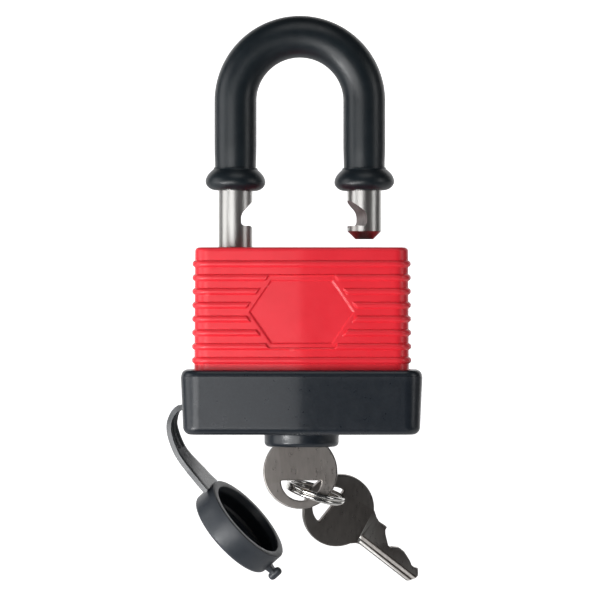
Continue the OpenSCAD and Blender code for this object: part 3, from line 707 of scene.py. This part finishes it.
def build_cap():
    """Moulded dust cap: rounded outer edge, flat rim, a step inside, and a tab to pull it by."""
    inner = CAP_R - CAP_WALL
    edge = 1.0
    profile = [(2.0, -CAP_H), (CAP_R - edge - 3, -CAP_H)]
    profile += [(CAP_R - edge + edge * math.sin(math.radians(t)),
                 -CAP_H + edge - edge * math.cos(math.radians(t))) for t in range(0, 91, 15)]
    profile += [(CAP_R, -3.0), (CAP_R, -0.25), (CAP_R - 0.08, -0.07), (CAP_R - 0.25, 0.0),
                (inner + 0.35, 0.0), (inner + 0.12, -0.1), (inner, -0.4), (inner, -1.2),
                (inner - 0.18, -1.5), (inner - 0.18, -2.2), (inner, -2.5), (inner, -4.9),
                (inner - 0.5, -CAP_H + CAP_FLOOR), (5.0, -CAP_H + CAP_FLOOR),
                (4.8, -CAP_H + CAP_FLOOR + 0.15), (2.0, -CAP_H + CAP_FLOOR + 0.15)]
    s = Solid(CAP_TURN)
    s.closed([circle(0, 0, z, r, 128) for r, z in profile])
    s.finish("cap_cup", CAP_BLACK, "dust_cap", ["dust_cap"])

    # the pull tab: a flat neck, and a cross bar at its end
    tab = Solid(CAP_TURN)
    mid = -CAP_H + 2.3
    squareness = 0.6  # 1 would be an ellipse
    rows = []
    for x, w, h in ((CAP_R - 0.8, 2.1, 1.15), (CAP_R + 0.4, 1.75, 0.9), (CAP_R + 1.4, 1.45, 0.8),
                    (CAP_R + 2.2, 1.45, 0.8)):
        rows.append([(x, w * math.copysign(abs(math.cos(t)) ** squareness, math.cos(t)),
                      mid + h * math.copysign(abs(math.sin(t)) ** squareness, math.sin(t)))
                     for t in around(32)])
    tab.closed(rows)
    bar_x, bar_half, bar_r, bar_wide = CAP_R + 2.35, 1.95, 1.12, 1.25
    bar = []
    for k in range(25):
        v = -1 + 2 * k / 24
        r = bar_r * max(1 - abs(v) ** 5, 0.02) ** 0.5
        bar.append([(bar_x + r * math.cos(t), bar_wide * r * math.sin(t), mid + bar_half * v)
                    for t in around(28)])
    tab.closed(bar)
    return tab.finish("cap_tab", CAP_BLACK, "dust_cap", ["dust_cap"])


def strap_points(count=70):
    """The strap's front edge drawn finely: position, direction, width, twist, part of the way."""
    last = len(STRAP) - 1
    spots = []
    for k in range(count + 1):
        t = last * k / count
        i = min(int(t), last - 1)
        spots.append(between(STRAP, i, t - i))
    result = []
    for k, (x, z, w, twist) in enumerate(spots):
        ax, az = spots[max(k - 1, 0)][:2]
        bx, bz = spots[min(k + 1, count)][:2]
        size = math.hypot(bx - ax, bz - az)
        result.append((x, z, (bx - ax) / size, (bz - az) / size, w, math.radians(twist), k / count))
    return result


def build_strap():
    """The strap: a channel with a rib in its inner face near the body, flat nearer the cap."""
    # part of the way across the width, and part of the thickness from the middle
    section = [(0.10, 0.5), (0.0, 0.40), (0.0, -0.40), (0.10, -0.5), (0.90, -0.5), (1.0, -0.40),
               (1.0, 0.40), (0.90, 0.5)]
    # part of the way across the width, and part of the channel's depth
    channel = [(0.84, 0), (0.80, 1), (0.62, 1), (0.59, 0.12), (0.41, 0.12), (0.38, 1), (0.20, 1),
               (0.16, 0)]
    channel_depth = 0.75
    s = Solid()
    rows = []
    for x, z, dx, dz, w, twist, t in strap_points():
        # the channel starts just after the root and ends half way along
        depth = channel_depth * (1 - smoothstep(0.50, 0.53, t)) * smoothstep(0.02, 0.08, t)
        nx, nz = -dz, dx
        ring = [(a, h * STRAP_T) for a, h in section]
        ring += [(a, STRAP_T / 2 - depth * d) for a, d in channel]
        y0 = -w / 2 * math.cos(twist)
        rows.append([(x + nx * (math.sin(twist) * a * w + math.cos(twist) * h),
                      y0 + math.cos(twist) * a * w - math.sin(twist) * h,
                      z + nz * (math.sin(twist) * a * w + math.cos(twist) * h)) for a, h in ring])
    s.closed(rows)
    # the root: a bead in the base's socket, and the web that joins it to the strap
    root_x, root_z = STRAP_ROOT
    bead_r = 1.2
    s.closed([[(root_x + bead_r * math.cos(t), y, root_z + bead_r * math.sin(t))
               for t in around(24)] for y in (-3.2, -3.0, 3.0, 3.2)])
    web = [(root_x, root_z + 0.42), (root_x - 1.0, root_z + 0.62), (root_x - 2.05, root_z + 0.50),
           (root_x - 2.6, root_z - 0.6), (root_x - 1.35, root_z - 1.02), (root_x, root_z - 0.42)]
    s.closed([[(x, y, z) for x, z in web] for y in (-3.15, 3.15)])
    return s.finish("strap", STRAP_HIGHLIGHT_GREY, "dust_cap", ["cap_strap"])


# ---- Finishes of the CAD nodes that stay ----
NODE_FINISH = {
    "spring_cup": SPRING, "shackle_spring": SPRING, "pin_springs": SPRING,
    "latch_spring": SPRING, "cylinder_shell": BRASS, "pin_cover": BRASS, "driver_pins": BRASS,
    "plug": BRASS, "key_pins": BRASS, "plug_clip": SPRING, "drive_cam": PLATE,
    "heel_latch": PLATE, "toe_latch": PLATE, "body_rivets": PLATE,
    "bottom_plate": PLATE, "cylinder_plates": PLATE, "clip_plate": PLATE, "spacer_plates": PLATE,
    "cam_plate": PLATE, "latch_plates": PLATE, "top_plate": PLATE,
}


def finish_nodes():
    """Gives each CAD node that stays its finish."""
    for name, finish in NODE_FINISH.items():
        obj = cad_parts[name]
        obj.data.materials.clear()
        obj.data.materials.append(finish["material"])


def press_spring():
    """Gives the shackle's spring a mesh of its own."""
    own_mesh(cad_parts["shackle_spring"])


# ---- Studio ----
def lit_paper(name, floor_z, on_floor):
    """Pale paper that glows: by on_floor where it lies, and fully where it stands up."""
    mat = bpy.data.materials.new(name)
    mat.use_nodes = True
    tree = mat.node_tree
    shader = next(n for n in tree.nodes if n.type == "BSDF_PRINCIPLED")
    shader.inputs["Base Color"].default_value = (0.82, 0.82, 0.82, 1)
    shader.inputs["Roughness"].default_value = 0.9
    shader.inputs["Emission Color"].default_value = (1, 1, 1, 1)
    split = tree.nodes.new("ShaderNodeSeparateXYZ")
    tree.links.new(tree.nodes.new("ShaderNodeTexCoord").outputs["Object"], split.inputs[0])
    tree.links.new(spread(tree, split.outputs["Z"], on_floor, 1.0, floor_z + 0.01, floor_z + 0.10),
                   shader.inputs["Emission Strength"])
    return mat


def soft_light(name, at, aim, size, watts):
    """A rectangular light that the camera doesn't see, size in metres, turned towards aim."""
    data = bpy.data.lights.new(name, "AREA")
    data.shape, data.size, data.size_y = "RECTANGLE", size[0], size[1]
    data.energy = watts
    obj = bpy.data.objects.new(name, data)
    obj.location = at
    obj.visible_camera = False
    obj.rotation_euler = (Vector(aim) - Vector(at)).to_track_quat("-Z", "Y").to_euler()
    bpy.context.scene.collection.objects.link(obj)


def studio_object(name, bm, paper):
    """A part of the studio made from a bmesh."""
    mesh = bpy.data.meshes.new(name)
    bm.to_mesh(mesh)
    bm.free()
    obj = bpy.data.objects.new(name, mesh)
    bpy.context.scene.collection.objects.link(obj)
    mesh.materials.append(paper)
    return obj


def build_studio(low, high):
    """A pale sheet that lies under the lock and sweeps up behind it, and soft lights."""
    scene = bpy.context.scene
    middle = (low + high) / 2
    # all in metres: the lock hangs well above the floor
    floor_z = low.z - 0.25
    radius, back, front, side, wall = 0.35, 2.0, 0.12, 3.2, 2.6
    bm = bmesh.new()
    line = [(-front, floor_z)] + [
        (back + radius * math.sin(t), floor_z + radius * (1 - math.cos(t)))
        for t in (math.pi / 2 * k / 24 for k in range(25))] + [(back + radius, floor_z + wall)]
    rows = [[bm.verts.new((x, y, z)) for x in (-side, side)] for y, z in line]
    for a, b in zip(rows, rows[1:]):
        bm.faces.new((a[0], a[1], b[1], b[0]))
    sweep = studio_object("sweep", bm, lit_paper("pale_paper", floor_z, 0.25))
    sweep.data.shade_smooth()

    # the rest of the room, which only the camera sees, gives the other views a pale background
    room_size = (2 * side + 0.1, 4.9, 6.0)
    bm = bmesh.new()
    bmesh.ops.create_cube(bm, size=1)
    bmesh.ops.scale(bm, vec=room_size, verts=bm.verts)
    room = studio_object("room", bm, lit_paper("room_paper", floor_z, 1.0))
    room.visible_diffuse = room.visible_glossy = room.visible_transmission = False
    room.visible_shadow = False

    world = bpy.data.worlds.new("studio")
    scene.world = world
    world.use_nodes = True
    shade = world.node_tree.nodes["Background"]
    shade.inputs["Color"].default_value = (0.93, 0.96, 1.0, 1)
    shade.inputs["Strength"].default_value = 0.04
    # most light comes from a card low on the left and the lights beside it; the right is darker.
    # Each row: name, x, y, height over the middle of the lock, size, watts
    for name, x, y, rise, size, watts in (
            ("card", -0.377, -0.773, -0.24, (0.59, 0.56), 4.55),
            ("low_left", -0.563, -0.456, -0.338, (0.20, 0.22), 3.0),
            ("low_right", 0.265, -0.543, -0.525, (0.16, 0.12), 0.12),
            ("side_left", -0.70, -0.14, 0.02, (0.44, 0.7), 2.0),
            ("side_right", 0.70, -0.28, 0.12, (0.22, 0.5), 0.7),
            ("top", 0.05, -0.40, 0.75, (0.5, 0.4), 0.9)):
        soft_light(name, (x, y, middle.z + rise), middle, size, watts)


def build_camera(low, high):
    """Level camera that looks along +Y, with the whole lock filling the height of the picture."""
    scene = bpy.context.scene
    # metres: how wide the picture is at the lock, and how far away the camera stands
    view, distance = 0.15707, 1.6
    data = bpy.data.cameras.new("camera")
    data.sensor_width = 36
    data.lens = data.sensor_width * distance / view
    obj = bpy.data.objects.new("camera", data)
    obj.location = (AXIS_X - 0.42 * MM, -distance, (low.z + high.z) / 2)
    obj.rotation_euler = (math.radians(90), 0, 0)
    scene.collection.objects.link(obj)
    scene.camera = obj
    scene.view_settings.view_transform = "Standard"


finish_nodes()
press_spring()
build_jacket()
build_base()
build_shackle()
build_sleeve()
build_seals()
build_key("key_in_lock", turned(LOCK_KEY_AT), "plug", "lock_key")
build_key("key_spare", turned(SPARE_AT, ("Y", SPARE_ROLL), ("X", SPARE_LEAN)), "spare_key",
          "spare_key")
build_ring()
build_cap()
build_strap()
build_studio(*cad_box)
build_camera(*cad_box)
